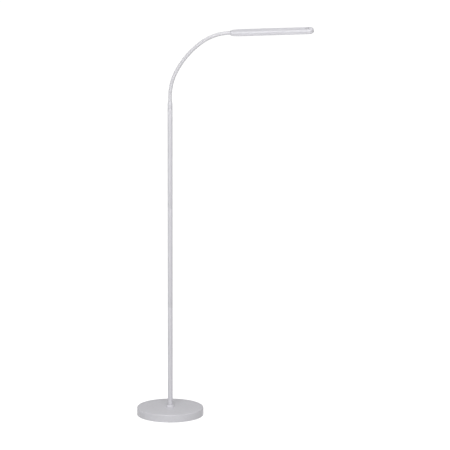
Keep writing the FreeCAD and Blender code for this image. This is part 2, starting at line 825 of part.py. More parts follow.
def head_outline(inset="0", tail="0"):
    """The head from above, drawn in by inset and at its tail by tail: narrow tail, convex shoulders,
    straight sides, round tip."""
    tip, half = "headEnd - headHalf", f"(headHalf - ({inset}))"
    shoulder = [(f"headStart + {tail} + (shoulderLength - {tail}) * {1 - share}",
                 f"({half} - shoulderRise * {share ** 2})")
                for share in (1, 2 / 3, 1 / 3, 0)]
    turns = [18 * n - 90 for n in range(11)]
    return ([(x, f"-{y}") for x, y in shoulder]
            + [(f"{tip} + {half} * cos({t})", f"0 + {half} * sin({t})") for t in turns[1:-1]]
            + [(x, f"0 + {y}") for x, y in reversed(shoulder)])


def moulding(label, up, bevel):
    """One half of the head: the outline padded up or down, its outer edge bevelled, and hollowed in
    two steps so that the wall is as thick behind the bevel."""
    body = new_body(label)
    sketch = new_sketch(body, "XY_Plane", "outline")
    outline(sketch, head_outline())
    pad = padded(body, sketch, "halfHeight", down=not up)
    level, tail = (1 if up else -1) * size("halfHeight"), size("headStart")

    def outer_edge(edge):
        box_ = edge.BoundBox
        flat = abs(box_.ZMin - level) < 1e-4 and abs(box_.ZMax - level) < 1e-4
        return flat and box_.XMax > tail + 1e-3

    bevelled(body, pad, bevel, outer_edge)
    step = f"({bevel} - 0.59 * headWall)"
    for name, inset, depth in (("wide", "headWall", f"innerHalfHeight - {step}"),
                               ("deep", f"headWall + {step}", "innerHalfHeight")):
        cavity = new_sketch(body, "XY_Plane", name + "_cavity")
        outline(cavity, head_outline(inset, "headWall"))
        pocketed(body, cavity, depth, flipped=up)
    return body


def tail_hole(body):
    """Hole for the spigot in the tail's wall."""
    hole = new_sketch(body, "YZ_Plane", "spigot_hole")
    facets(hole, "spigotRadius + slip", sides=neckSides)
    pocketed(body, hole, "headStart + headWall + 0.5", flipped=True)


def boss_spots():
    """The bosses of the three head screws, as (x, y)."""
    return [("tailBossPlace", "-tailBossSpread"), ("tailBossPlace", "tailBossSpread"), ("tipBossX", "0")]


def post_spots():
    """The two posts that carry the aluminium plate, as (x, y)."""
    return [("stripStart + stripLength * 0.25", "spreaderPostSpread"),
            ("stripStart + stripLength * 0.75", "-spreaderPostSpread")]


def head_cover():
    """Upper moulding: posts for the aluminium plate, bosses for the screws, recess for the touch key."""
    body = moulding("head_cover", True, "topEdgeWidth")
    tail_hole(body)
    posts = new_sketch(body, "XY_Plane", "posts", "spreaderTop")
    for x, y in post_spots():
        facets(posts, "postRadius", x, y)
    padded(body, posts, "innerHalfHeight - spreaderTop + 0.5")
    bosses = new_sketch(body, "XY_Plane", "bosses")
    for x, y in boss_spots():
        facets(bosses, "postRadius", x, y)
    padded(body, bosses, "innerHalfHeight + 0.5")
    pilots = new_sketch(body, "XY_Plane", "pilots")
    for x, y in boss_spots():
        facets(pilots, "screwRadius + fit", x, y)
    pocketed(body, pilots, "innerHalfHeight - 1", flipped=True)
    plate_pilots = new_sketch(body, "XY_Plane", "plate_pilots", "spreaderTop")
    for x, y in post_spots():
        facets(plate_pilots, "screwRadius + fit", x, y)
    pocketed(body, plate_pilots, "innerHalfHeight - spreaderTop - 1", flipped=True)
    recess = new_sketch(body, "XY_Plane", "touch_recess", "halfHeight")
    facets(recess, "touchRadius + touchRingWidth + 2 * fit", "touchX", sides=plainSides * 2)
    pocketed(body, recess, "touchDepth")
    return body


def head_tray():
    """Lower moulding with the light window and the bosses that take the screw heads."""
    body = moulding("head_tray", False, "bottomEdgeWidth")
    tail_hole(body)
    bosses = new_sketch(body, "XY_Plane", "bosses")
    for x, y in boss_spots():
        facets(bosses, "postRadius", x, y)
    padded(body, bosses, "innerHalfHeight + 0.5", down=True)
    holes = new_sketch(body, "XY_Plane", "screw_holes")
    for x, y in boss_spots():
        facets(holes, "screwRadius + 0.2", x, y)
    pocketed(body, holes, "halfHeight + 1")
    seats = new_sketch(body, "XY_Plane", "screw_seats", "-halfHeight")
    for x, y in boss_spots():
        facets(seats, "screwHeadRadius + 0.2", x, y)
    pocketed(body, seats, "screwHeadHeight + 0.2", flipped=True)
    window = new_sketch(body, "XY_Plane", "window", "-halfHeight")
    outline(window, slot_points("(stripStart - 2)", "(stripEnd + 2)", "(windowWidth / 2)"))
    pocketed(body, window, "headWall + 0.5", flipped=True)
    return body


def head_screws():
    """Three screws from below, through the lower moulding into the upper one."""
    body = new_body("head_screws")
    body.AllowCompound = True
    level = "screwHeadHeight + 0.2 - halfHeight"
    shanks = new_sketch(body, "XY_Plane", "shanks", level)
    heads = new_sketch(body, "XY_Plane", "heads", level)
    for x, y in boss_spots():
        facets(shanks, "screwRadius", x, y)
        facets(heads, "screwHeadRadius", x, y)
    padded(body, shanks, "halfHeight - screwHeadHeight + 3")
    padded(body, heads, "screwHeadHeight", down=True)
    return body


def heat_spreader():
    """Aluminium plate that carries the light board."""
    body = new_body("heat_spreader")
    plate = new_sketch(body, "XY_Plane", "plate", "boardTop")
    low, high, half = "(stripStart - 3)", "(stripEnd + 3)", "(spreaderWidth / 2)"
    outline(plate, [(low, f"-{half}"), (high, f"-{half}"), (high, f"0 + {half}"), (low, f"0 + {half}")])
    for x, y in post_spots():
        facets(plate, "screwRadius + 0.2", x, y)
    padded(body, plate, "spreaderThickness")
    return body


def spreader_screws():
    """Two screws that hold the plate on its posts."""
    body = new_body("spreader_screws")
    body.AllowCompound = True
    shanks = new_sketch(body, "XY_Plane", "shanks", "boardTop")
    heads = new_sketch(body, "XY_Plane", "heads", "boardTop")
    for x, y in post_spots():
        facets(shanks, "screwRadius", x, y)
        facets(heads, "screwHeadRadius * 0.9", x, y)
    padded(body, shanks, "spreaderThickness + 3")
    padded(body, heads, "boardThickness", down=True)
    return body


def led_board():
    return box("led_board", "stripStart", "-boardWidth / 2", "boardBottom",
               "stripLength", "boardWidth", "boardThickness")


def led_chips():
    """One row of light chips under the board."""
    body = new_body("led_chips")
    body.AllowCompound = True
    chip = new_sketch(body, "XY_Plane", "chip", "boardBottom")
    first = "(stripStart + chipPitch / 2)"
    half, side = "(chipLength / 2)", "(chipWidth / 2)"
    outline(chip, [(f"{first} - {half}", f"-{side}"), (f"{first} + {half}", f"-{side}"),
                   (f"{first} + {half}", f"0 + {side}"), (f"{first} - {half}", f"0 + {side}")])
    pad = padded(body, chip, "chipHeight", down=True)
    row = body.newObject("PartDesign::LinearPattern", "led_chips_row")
    row.Originals = [pad]
    axis = [f for f in body.Origin.OriginFeatures if f.Role == "X_Axis"][0]
    row.Direction = (axis, [""])
    row.setExpression("Occurrences", bound("floor(stripLength / chipPitch)"))
    row.setExpression("Length", bound("chipPitch * (floor(stripLength / chipPitch) - 1)"))
    body.Tip = row
    return body


def diffuser():
    """Opal window: a plug in the lower moulding and a flange that rests on its floor."""
    body = new_body("diffuser")
    plug = new_sketch(body, "XY_Plane", "plug", "-halfHeight")
    start, end, half = "(stripStart - 2 + slip)", "(stripEnd + 2 - slip)", "(windowWidth / 2 - slip)"
    outline(plug, slot_points(start, end, half))
    padded(body, plug, "headWall")
    flange = new_sketch(body, "XY_Plane", "flange", "-innerHalfHeight")
    start, end = "(stripStart - 2 - diffuserFlange)", "(stripEnd + 2 + diffuserFlange)"
    outline(flange, slot_points(start, end, "(windowWidth / 2 + diffuserFlange)"))
    padded(body, flange, "diffuserLip")
    return body


def reflector():
    """White tray with sloping walls, open to the board above and to the diffuser below."""
    body = new_body("reflector")
    depth = size("boardBottom") - size("flangeTop")
    lean = math.degrees(math.atan((size("windowWidth") / 2 - size("boardWidth") / 2) / depth))
    for name, wall in (("outside", "reflectorWall"), ("inside", "0")):
        sketch = new_sketch(body, "XY_Plane", name, "flangeTop")
        start, end = f"(stripStart - 1 - {wall})", f"(stripEnd + 1 + {wall})"
        outline(sketch, slot_points(start, end, f"(windowWidth / 2 - 1 + {wall})"))
        if name == "outside":
            solid = padded(body, sketch, "boardBottom - flangeTop")
            solid.TaperAngle = -lean
        else:
            hollow = pocketed(body, sketch, "boardBottom - flangeTop", flipped=True)
            hollow.TaperAngle = -lean
    return body


def touch_key():
    """Flat key of the touch switch, flush with the upper moulding."""
    body = new_body("touch_key")
    disc = new_sketch(body, "XY_Plane", "disc", "halfHeight - touchDepth")
    facets(disc, "touchRadius", "touchX", sides=plainSides * 2)
    padded(body, disc, "touchDepth")
    return body


def touch_ring():
    """Grey ring around the touch key."""
    body = new_body("touch_ring")
    ring = new_sketch(body, "XY_Plane", "ring", "halfHeight - touchDepth")
    facets(ring, "touchRadius + touchRingWidth + fit", "touchX", sides=plainSides * 2)
    facets(ring, "touchRadius + fit", "touchX", sides=plainSides * 2)
    padded(body, ring, "touchDepth")
    return body


def touch_board():
    """Control board against the underside of the upper moulding, below the touch key."""
    return box("touch_board", "touchX - 8", "-6", "innerHalfHeight - boardThickness",
               "14", "12", "boardThickness")


def touch_chip():
    return box("touch_chip", "touchX - 4", "-2", "innerHalfHeight - boardThickness - 1.2", "5", "4", "1.2")


def lead_connector():
    """Plug that takes the lead onto the light board, on top of the aluminium plate."""
    return box("lead_connector", "stripStart + 2", "-4", "spreaderTop", "10", "8", "4.4")


def head_lead():
    """The lead from the gooseneck to its plug on the plate."""
    high = size("spreaderTop") + size("leadRadius")
    points = [
        (Vector(-size("domeTip"), 0, 0), 0),
        (Vector(size("headStart") + size("spigotLength") + 4, 0, 0), 30.0),
        (Vector(size("stripStart") - 12, 0, high), 30.0),
        (Vector(size("stripStart") + 2, 0, high), 0),
    ]
    return lead("head_lead", points, size("leadRadius"), Vector(0, 1, 0))


def touch_lead():
    """Thin lead from the end of the light board up to the control board."""
    radius = 0.55
    level = size("boardBottom") + size("boardThickness") / 2
    x = size("stripEnd") + 6
    points = [
        (Vector(size("stripEnd"), 0, level), 0),
        (Vector(x, 0, level), 2.5),
        (Vector(x, 0, size("innerHalfHeight") - size("boardThickness")), 0),
    ]
    return lead("touch_lead", points, radius, Vector(0, 1, 0))


# ---- the lamp ----

pieces = [
    base_cover(), base_weight(), base_plate(), base_pad(), base_screws(), cord_grommet(), terminal_block(),
    base_stud(), base_washer(), base_nut(), pole_collar(),
    pole_section("pole_lower", 0), pole_section("pole_middle", 1), pole_section("pole_upper", 2),
    pole_sockets(), pole_studs(), pole_lead(), neck_ferrule(),
]
for number in range(1, int(size("neckCount")) + 1):
    pieces.append(gooseneck(number))
    pieces.append(neck_lead(number))

head_pieces = [
    neck_connector(), connector_washer(), connector_nut(), head_cover(), head_tray(), head_screws(),
    heat_spreader(), spreader_screws(), led_board(), led_chips(), diffuser(), reflector(),
    touch_key(), touch_ring(), touch_board(), touch_chip(), lead_connector(), head_lead(), touch_lead(),
]
doc.recompute()
for piece in head_pieces:
    for name in ("x", "y", "z"):
        piece.setExpression(f"Placement.Base.{name}", None)
    piece.Placement = head_placement().multiply(piece.Placement)
pieces += head_pieces
doc.recompute()

for thing in doc.Objects:
    if "Invalid" in thing.State or "Error" in thing.State:
        raise RuntimeError(f"{thing.Name} failed: {thing.State}")
for piece in pieces:
    if piece.Shape.isNull() or not piece.Shape.isValid():
        raise RuntimeError(f"{piece.Label} has no valid shape")
for piece in pieces:
    piece.Shape.exportStep(f"parts/{piece.Label}.step")

print(len(pieces), "pieces; last pivot of the gooseneck at", pivot(size("neckCount"))[0])
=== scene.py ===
import json
import math

import bpy
from mathutils import Matrix, Vector


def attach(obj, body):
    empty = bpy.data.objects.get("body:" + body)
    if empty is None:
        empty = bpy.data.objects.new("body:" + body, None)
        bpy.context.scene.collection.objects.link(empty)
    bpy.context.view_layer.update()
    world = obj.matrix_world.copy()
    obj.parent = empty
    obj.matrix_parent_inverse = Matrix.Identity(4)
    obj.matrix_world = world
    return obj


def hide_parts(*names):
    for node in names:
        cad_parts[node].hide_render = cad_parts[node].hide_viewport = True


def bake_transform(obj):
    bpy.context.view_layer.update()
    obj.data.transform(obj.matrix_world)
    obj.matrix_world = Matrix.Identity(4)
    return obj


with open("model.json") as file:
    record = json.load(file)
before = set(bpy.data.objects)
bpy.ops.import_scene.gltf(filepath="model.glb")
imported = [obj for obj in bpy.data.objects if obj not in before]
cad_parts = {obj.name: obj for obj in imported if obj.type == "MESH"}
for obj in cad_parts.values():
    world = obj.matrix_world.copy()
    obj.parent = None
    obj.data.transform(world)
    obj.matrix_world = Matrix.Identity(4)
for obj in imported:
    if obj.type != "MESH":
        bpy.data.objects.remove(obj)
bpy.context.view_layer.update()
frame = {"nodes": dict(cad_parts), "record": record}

# Gooseneck reading floor lamp, in metres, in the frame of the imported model

mm = 0.001
touching = 1e-6  # points closer than this are merged
sameHeight = 1e-7
alongX = Matrix.Rotation(math.pi / 2, 4, "Y")  # lays a piece that was made about Z along X
alongY = Matrix.Rotation(-math.pi / 2, 4, "X")


def deselectAll():
    if bpy.context.mode != "OBJECT":
        bpy.ops.object.mode_set(mode="OBJECT")
    bpy.ops.object.select_all(action="DESELECT")


def pick(piece):
    deselectAll()
    piece.select_set(True)
    bpy.context.view_layer.objects.active = piece


def added(name):
    # the primitive that was just added
    piece = bpy.context.active_object
    piece.name = piece.data.name = name
    return piece


def edit(piece, kind="VERT"):
    pick(piece)
    bpy.ops.object.mode_set(mode="EDIT")
    bpy.ops.mesh.select_mode(type=kind)
    bpy.ops.mesh.select_all(action="SELECT")


def choose(piece, kind, wanted):
    # selects the edges or faces that are wanted, and leaves the piece in edit mode
    edit(piece, kind)
    bpy.ops.mesh.select_all(action="DESELECT")
    bpy.ops.object.mode_set(mode="OBJECT")
    for item in piece.data.edges if kind == "EDGE" else piece.data.polygons:
        item.select = wanted(item)
    bpy.ops.object.mode_set(mode="EDIT")


def closeUp(piece):
    # merge what touches and point every face outwards
    edit(piece)
    bpy.ops.mesh.remove_doubles(threshold=touching)
    bpy.ops.mesh.normals_make_consistent(inside=False)
    bpy.ops.object.mode_set(mode="OBJECT")


def applyModifier(piece, kind, **settings):
    pick(piece)
    modifier = piece.modifiers.new(kind.title(), kind)
    for key, setting in settings.items():
        setattr(modifier, key, setting)
    bpy.ops.object.modifier_apply(modifier=modifier.name)


def softenEdges(piece, width, segments, angle):
    applyModifier(piece, "BEVEL", width=width * mm, segments=segments, limit_method="ANGLE",
                  angle_limit=math.radians(angle), use_clamp_overlap=True,
                  miter_outer="MITER_ARC")


def smooth(piece, angle=32):
    # edges that turn by more than the angle stay sharp
    pick(piece)
    bpy.ops.object.shade_smooth_by_angle(angle=math.radians(angle))


def cutAway(piece, *cutters):
    for cutter in cutters:
        applyModifier(piece, "BOOLEAN", operation="DIFFERENCE", solver="EXACT", object=cutter)
        bpy.data.objects.remove(cutter, do_unlink=True)


def copied(piece, name):
    # a copy with its own mesh
    other = piece.copy()
    other.data = piece.data.copy()
    other.name = other.data.name = name
    bpy.context.collection.objects.link(other)
    return other


def joined(name, pieces):
    deselectAll()
    for piece in pieces:
        piece.select_set(True)
    bpy.context.view_layer.objects.active = pieces[0]
    bpy.ops.object.join()
    return added(name)


def placed(piece, matrix):
    # moves the mesh and leaves the object at the origin
    pick(piece)
    piece.matrix_world = matrix @ piece.matrix_world
    bpy.ops.object.transform_apply(location=True, rotation=True, scale=True)
    return piece


def shifted(x=0, y=0, z=0):
    return Matrix.Translation((x * mm, y * mm, z * mm))


def turned(name, profile, sides, filled=False):
    # a ring is extruded from (radius, height) to (radius, height), in mm, about Z
    radius, height = profile[0]
    deselectAll()
    bpy.ops.mesh.primitive_circle_add(vertices=sides, radius=radius * mm,
                                      location=(0, 0, height * mm),
                                      fill_type="NGON" if filled else "NOTHING")
    piece = added(name)
    pick(piece)
    bpy.ops.object.transform_apply(location=True)
    edit(piece)
    for nextRadius, nextHeight in profile[1:]:
        rise = (0, 0, (nextHeight - height) * mm)
        bpy.ops.mesh.extrude_region_move(TRANSFORM_OT_translate={"value": rise})
        ratio = nextRadius / radius
        bpy.ops.transform.resize(value=(ratio, ratio, 1),
                                 center_override=(0, 0, nextHeight * mm))
        radius, height = nextRadius, nextHeight
    bpy.ops.object.mode_set(mode="OBJECT")
    closeUp(piece)
    return piece


def arc(centre, radius, start, end, steps):
    # points of a rounding in a turned profile, angles in degrees from the radius axis
    turns = [math.radians(start + (end - start) * n / steps) for n in range(steps + 1)]
    return [(centre[0] + radius * math.cos(t), centre[1] + radius * math.sin(t)) for t in turns]


def flare(wide, narrow, low, high, steps):
    # upright at the wide end, curving in to the narrow one
    return [(wide - (wide - narrow) * (n / steps) ** 2, low + (high - low) * n / steps)
            for n in range(steps + 1)]


def lifted(profile, height):
    return [(radius, height + rise) for radius, rise in profile]


def slab(name, corners, low, high):
    # a flat outline in mm, extruded from one height to another
    deselectAll()
    bpy.ops.mesh.primitive_circle_add(vertices=len(corners), radius=0.01, fill_type="NGON")
    piece = added(name)
    for vertex, (x, y) in zip(piece.data.vertices, corners):
        vertex.co = (x * mm, y * mm, low * mm)
    edit(piece)
    rise = (0, 0, (high - low) * mm)
    bpy.ops.mesh.extrude_region_move(TRANSFORM_OT_translate={"value": rise})
    bpy.ops.object.mode_set(mode="OBJECT")
    closeUp(piece)
    return piece


def slotCorners(start, end, half, steps=16):
    # a slot with round ends along X
    turns = [math.pi * (n / steps - 0.5) for n in range(steps + 1)]
    right = [(end - half + half * math.cos(t), half * math.sin(t)) for t in turns]
    left = [(start + half - half * math.cos(t), -half * math.sin(t)) for t in turns]
    return right + left


def rod(radius, low, high, sides=32):
    # a plain cutter for holes
    turns = [2 * math.pi * n / sides for n in range(sides)]
    corners = [(radius * math.cos(t), radius * math.sin(t)) for t in turns]
    return slab("cutter", corners, low, high)


class Value:
    # one output of a node; sums and products of these add Math nodes
    def __init__(self, finish, socket):
        self.finish, self.socket = finish, socket

    def maths(self, operation, first, second):
        settings = {"operation": operation}
        return self.finish.node("ShaderNodeMath", settings, {0: first, 1: second})

    def __add__(self, other):
        return self.maths("ADD", self, other)

    def __radd__(self, other):
        return self.maths("ADD", other, self)

    def __mul__(self, other):
        return self.maths("MULTIPLY", self, other)

    def __rmul__(self, other):
        return self.maths("MULTIPLY", other, self)

    def above(self, limit):
        return self.maths("GREATER_THAN", self, limit)


class Finish:
    def __init__(self, name):
        self.material = bpy.data.materials.new(name)
        self.material.use_nodes = True
        self.tree = self.material.node_tree
        self.shader = self.tree.nodes["Principled BSDF"]
        self.output = self.tree.nodes["Material Output"]
        self.spot = self.node("ShaderNodeTexCoord", {}, {}, "Object")

    def node(self, kind, settings, inputs, output=0):
        made = self.tree.nodes.new(kind)
        for key, setting in settings.items():
            if key == "stops":
                self.setStops(made.color_ramp, setting)
            else:
                setattr(made, key, setting)
        for key, value in inputs.items():
            self.feed(made.inputs[key], value)
        return Value(self, made.outputs[output])

    def setStops(self, ramp, stops):
        while len(ramp.elements) < len(stops):
            ramp.elements.new(1.0)
        for element, (place, colour) in zip(ramp.elements, stops):
            element.position, element.color = place, (*colour, 1.0)

    def feed(self, socket, value):
        if isinstance(value, Value):
            self.tree.links.new(value.socket, socket)
        else:
            socket.default_value = value

    def noise(self, size, detail=2.0, roughness=0.5, spot=None):
        # size is the width of a blotch, in metres
        inputs = {"Vector": spot or self.spot, "Scale": 1 / size, "Detail": detail,
                  "Roughness": roughness}
        return self.node("ShaderNodeTexNoise", {}, inputs, "Fac")

    def stretched(self, x, y, z):
        return self.node("ShaderNodeMapping", {}, {"Vector": self.spot, "Scale": (x, y, z)})

    def mixed(self, first, second, factor):
        inputs = {0: factor, 6: (*first, 1.0), 7: (*second, 1.0)}  # 6 and 7 are the two colours
        return self.node("ShaderNodeMix", {"data_type": "RGBA"}, inputs, 2)

    def bump(self, height, strength, distance):
        inputs = {"Height": height, "Strength": strength, "Distance": distance}
        self.feed(self.shader.inputs["Normal"], self.node("ShaderNodeBump", {}, inputs))

    def set(self, **values):
        for key, value in values.items():
            self.feed(self.shader.inputs[key.replace("_", " ")], value)


def around(middle, swing, mask):
    # runs from middle - swing to middle + swing as the mask goes from 0 to 1
    return middle - swing + mask * (2 * swing)


def powderCoat(name, colour, shade, grain, rough=0.42):
    # satin paint: fine orange peel, faint clouding and slightly worn gloss
    finish = Finish(name)
    cloud = finish.noise(size=0.09, detail=3.0)
    peel = finish.noise(size=grain, detail=2.0, roughness=0.6)
    finish.set(Base_Color=finish.mixed(shade, colour, cloud),
               Roughness=around(rough, 0.05, cloud), Specular_IOR_Level=0.45)
    finish.bump(peel, strength=0.04, distance=0.00008)
    return finish.material


def moulded(name, colour, shade, grain=0.0005, rough=0.46, bump=0.12):
    # plastic from a spark-eroded tool: an even, very fine texture
    finish = Finish(name)
    flow = finish.noise(size=0.05, detail=2.0)
    texture = finish.noise(size=grain, detail=3.0, roughness=0.7)
    finish.set(Base_Color=finish.mixed(shade, colour, flow),
               Roughness=around(rough, 0.04, texture), Specular_IOR_Level=0.35)
    finish.bump(texture, strength=bump, distance=0.00008)
    return finish.material


def metal(name, colour, shade, rough, streak=(1, 1, 0.05)):
    # plated or milled metal with marks along one direction
    finish = Finish(name)
    marks = finish.noise(size=0.0004, detail=3.0, roughness=0.6, spot=finish.stretched(*streak))
    bloom = finish.noise(size=0.012, detail=3.0)
    finish.set(Base_Color=finish.mixed(shade, colour, bloom),
               Roughness=around(rough, 0.08, marks), Metallic=1.0)
    finish.bump(marks, strength=0.15, distance=0.00005)
    return finish.material


def castIron(name):
    iron, rusty = (0.045, 0.045, 0.05), (0.10, 0.06, 0.04)
    finish = Finish(name)
    sand = finish.noise(size=0.0016, detail=5.0, roughness=0.7)
    rust = finish.noise(size=0.02, detail=4.0, roughness=0.65)
    stops = {"stops": [(0.55, iron), (0.75, rusty)]}
    finish.set(Base_Color=finish.node("ShaderNodeValToRGB", stops, {"Fac": rust}),
               Roughness=0.6 + sand * 0.25, Metallic=0.4)
    finish.bump(sand, strength=0.5, distance=0.0006)
    return finish.material


def foam(name):
    # closed cells
    black, dusty = (0.016, 0.016, 0.018), (0.05, 0.05, 0.052)
    finish = Finish(name)
    cells = finish.node("ShaderNodeTexVoronoi", {"feature": "F1"},
                        {"Vector": finish.spot, "Scale": 900.0}, "Distance")
    dust = finish.noise(size=0.01, detail=3.0)
    finish.set(Base_Color=finish.mixed(black, dusty, dust), Roughness=0.85 + cells * 0.1)
    finish.bump(cells, strength=0.5, distance=0.0004)
    return finish.material


def opal(name):
    # milky diffuser, light passes a little into it
    cool, milky = (0.78, 0.78, 0.77), (0.84, 0.84, 0.835)
    finish = Finish(name)
    haze = finish.noise(size=0.03, detail=2.0)
    finish.set(Base_Color=finish.mixed(cool, milky, haze), Roughness=0.34 + haze * 0.06,
               Subsurface_Weight=0.25, Subsurface_Scale=0.002)
    finish.bump(finish.noise(size=0.0004, detail=2.0), strength=0.08, distance=0.00005)
    return finish.material


def circuit(name, colour, copper):
    # solder mask over tracks
    finish = Finish(name)
    waves = {"Vector": finish.spot, "Scale": 260.0, "Distortion": 3.0}
    tracks = finish.node("ShaderNodeTexWave", {"wave_type": "BANDS"}, waves, "Fac").above(0.82)
    finish.set(Base_Color=finish.mixed(colour, copper, tracks),
               Roughness=0.3 + finish.noise(size=0.004) * 0.1)
    finish.bump(tracks, strength=0.2, distance=0.00005)
    return finish.material


white, whiteShade = (0.735, 0.728, 0.765), (0.715, 0.709, 0.746)
finishes = {
    "white_paint": powderCoat("satinWhitePaint", white, whiteShade, grain=0.0011),
    "neck_paint": powderCoat("gooseneckPaint", (0.72, 0.713, 0.745), (0.70, 0.694, 0.725),
                             grain=0.0009, rough=0.45),
    "white_plastic": moulded("satinWhiteMoulding", white, whiteShade, rough=0.58, bump=0.03),
    "cast_iron": castIron("sandCastIron"),
    "zinc_steel": metal("zincPlatedSteel", (0.60, 0.61, 0.63), (0.50, 0.51, 0.54), rough=0.34),
    "plate_steel": powderCoat("blackPlatePaint", (0.02, 0.02, 0.022), (0.014, 0.014, 0.015),
                              grain=0.0012, rough=0.5),
    "foam": foam("closedCellFoam"),
    "grommet_rubber": moulded("softWhiteRubber", (0.62, 0.62, 0.63), (0.58, 0.58, 0.59),
                              grain=0.0007, rough=0.62),
    "nylon": moulded("naturalNylon", (0.74, 0.71, 0.62), (0.70, 0.66, 0.56),
                     grain=0.0008, rough=0.4),
    "lead_sheath": moulded("leadSheath", (0.62, 0.62, 0.63), (0.57, 0.57, 0.58),
                           grain=0.0012, rough=0.5),
    "opal": opal("opalDiffuser"),
    "aluminium": metal("milledAluminium", (0.78, 0.78, 0.79), (0.70, 0.70, 0.71), rough=0.38,
                       streak=(0.04, 1, 1)),
    "white_board": circuit("whiteSolderMask", (0.78, 0.78, 0.75), (0.72, 0.72, 0.70)),
    "phosphor": moulded("phosphorGel", (0.85, 0.66, 0.10), (0.80, 0.58, 0.07),
                        grain=0.0003, rough=0.3),
    "key_plastic": moulded("touchKeyMoulding", (0.75, 0.745, 0.775), (0.73, 0.725, 0.755),
                           grain=0.0004, rough=0.38),
    "ring_grey": moulded("greyRing", (0.11, 0.113, 0.12), (0.09, 0.093, 0.10),
                         grain=0.0004, rough=0.5),
    "green_board": circuit("greenSolderMask", (0.012, 0.10, 0.035), (0.03, 0.16, 0.05)),
    "black_chip": moulded("chipPackage", (0.012, 0.012, 0.013), (0.02, 0.02, 0.021),
                          grain=0.0003, rough=0.5),
}
for part in frame["record"]["subparts"]:
    for materialSlot in frame["nodes"][part["node"]].material_slots:
        materialSlot.material = finishes[part["material_slot"]]
print("materials made:", len(finishes))


def ready(piece, body, replaced, slotName):
    pick(piece)
    bpy.ops.object.transform_apply(location=True, rotation=True, scale=True)
    piece.data.materials.clear()
    piece.data.materials.append(finishes[slotName])
    if body:
        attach(piece, body)
    if replaced:
        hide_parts(*replaced)


neck = {
    "foot": 1120.3706,  # height of the first pivot, in mm
    "stretches": [(12.0, 0.0), (96.0, 27.5), (147.0, 25.0), (109.0, 31.5)],  # length, degrees
    "headRoll": 16.0,  # turn of the head about its own length, in degrees
    "links": 10,
    "radius": 6.2,
    "wall": 0.9,
    "ribDepth": 0.1,
    "ribShape": [(0, 1), (0.18, 0.35), (0.5, 0), (0.82, 0.35), (1, 1)],  # along, inwards
    "ribsPerLink": 15,
    "footRibs": 9,
    "endRibs": 8,
    "sides": 40,
    "sharp": 60,
    "reach": 15.3,  # how far the bend spreads each side of a pivot
    "footReach": 2.5,
    "endReach": 1.0,
    "lead": 20.0,  # length of the guide before the first pivot and after the last
    "guideStep": 2.0,
    "parted": (6, 9),  # pivots where the sleeve is in two halves
    "bandReach": 35,  # half of the band's arc, in degrees
    "bandSteps": 10,
}


def neckAt(distance):
    # the point at a distance along the rest shape, in mm, and its lean from upright
    x, z, lean = 0.0, neck["foot"], 0.0
    if distance < 0:
        return Vector((0, 0, z + distance)), 0.0
    for length, turn in neck["stretches"]:
        part = min(distance, length)
        bend = math.radians(turn) * part / length
        if bend:
            radius = length / math.radians(turn)
            x += radius * (math.cos(lean) - math.cos(lean + bend))
            z += radius * (math.sin(lean + bend) - math.sin(lean))
        else:
            x += part * math.sin(lean)
            z += part * math.cos(lean)
        lean += bend
        distance -= part
    return Vector((x + distance * math.sin(lean), 0, z + distance * math.cos(lean))), lean


neckLength = sum(length for length, turn in neck["stretches"])
linkLength = neckLength / neck["links"]
ribPitch = linkLength / neck["ribsPerLink"]
headPivot, headLean = neckAt(neckLength)
headPlace = (Matrix.Translation(headPivot * mm)
             @ Matrix.Rotation(headLean - math.pi / 2, 4, "Y")
             @ Matrix.Rotation(math.radians(neck["headRoll"]), 4, "X"))
neckBodies = ["stand"] + [f"neck_{n:02d}" for n in range(1, neck["links"] + 1)] + ["head"]


base = {
    "radius": 115.0, "height": 27.7, "lift": 1.0, "wall": 1.2, "sides": 192,
    "edge": 3.0, "edgeSteps": 10, "insideEdge": 2.0, "insideSteps": 5,  # rounded top edge
    "rim": 0.5, "insideRim": 0.3,  # chamfers of the bottom edge
    "hole": 5.35, "ring": 60.0,  # radius of the hole for the stud, and of a ring on the flat top
    "sharp": 28,  # in degrees; less than this is shaded smooth
    "cordHole": (4.95, 100, 120),  # radius, start and end, at the back
    "cordHeight": 12.5,
}


def baseShell():
    outside, inside = base["radius"], base["radius"] - base["wall"]
    top, under, foot = base["height"], base["height"] - base["wall"], base["lift"]
    edge, insideEdge, hole = base["edge"], base["insideEdge"], base["hole"]
    profile = [(hole, under), (inside - insideEdge, under)]
    profile += arc((inside - insideEdge, under - insideEdge), insideEdge, 90, 0,
                   base["insideSteps"])[1:]
    profile += [(inside, foot + base["insideRim"]), (inside + base["insideRim"], foot)]
    profile += [(outside - base["rim"], foot), (outside, foot + base["rim"])]
    profile += arc((outside - edge, top - edge), edge, 0, 90, base["edgeSteps"])
    profile += [(base["ring"], top), (hole, top), (hole, under)]
    piece = turned("baseShell", profile, base["sides"])
    cutter = placed(rod(*base["cordHole"]), alongY)
    cutAway(piece, placed(cutter, shifted(z=base["cordHeight"])))
    smooth(piece, base["sharp"])
    ready(piece, "stand", ["base_cover"], "white_paint")


grommet = {
    "proud": 0.05, "play": 0.3,  # gaps to the shell's outer and inner faces
    "inside": [(3.2, -1.6), (6.6, -1.6), (7.1, -1.1), (7.1, 0), (4.9, 0)],
    "outside": ([(4.9, 0), (7.1, 0)] + arc((5.9, 0.4), 1.2, 0, 90, 6) + [(3.9, 1.6)]
                + arc((3.9, 0.9), 0.7, 90, 180, 4)),
    "sides": 64,
}


def cordGrommet():
    # rubber ring with a rounded outer flange, bore along Y at the back
    inside = lifted(grommet["inside"], base["radius"] - base["wall"] - grommet["play"])
    outside = lifted(grommet["outside"], base["radius"] + grommet["proud"])
    piece = turned("cordGrommet", inside + outside + inside[:1], grommet["sides"])
    placed(piece, shifted(z=base["cordHeight"]) @ alongY)
    smooth(piece)
    ready(piece, "stand", ["cord_grommet"], "grommet_rubber")


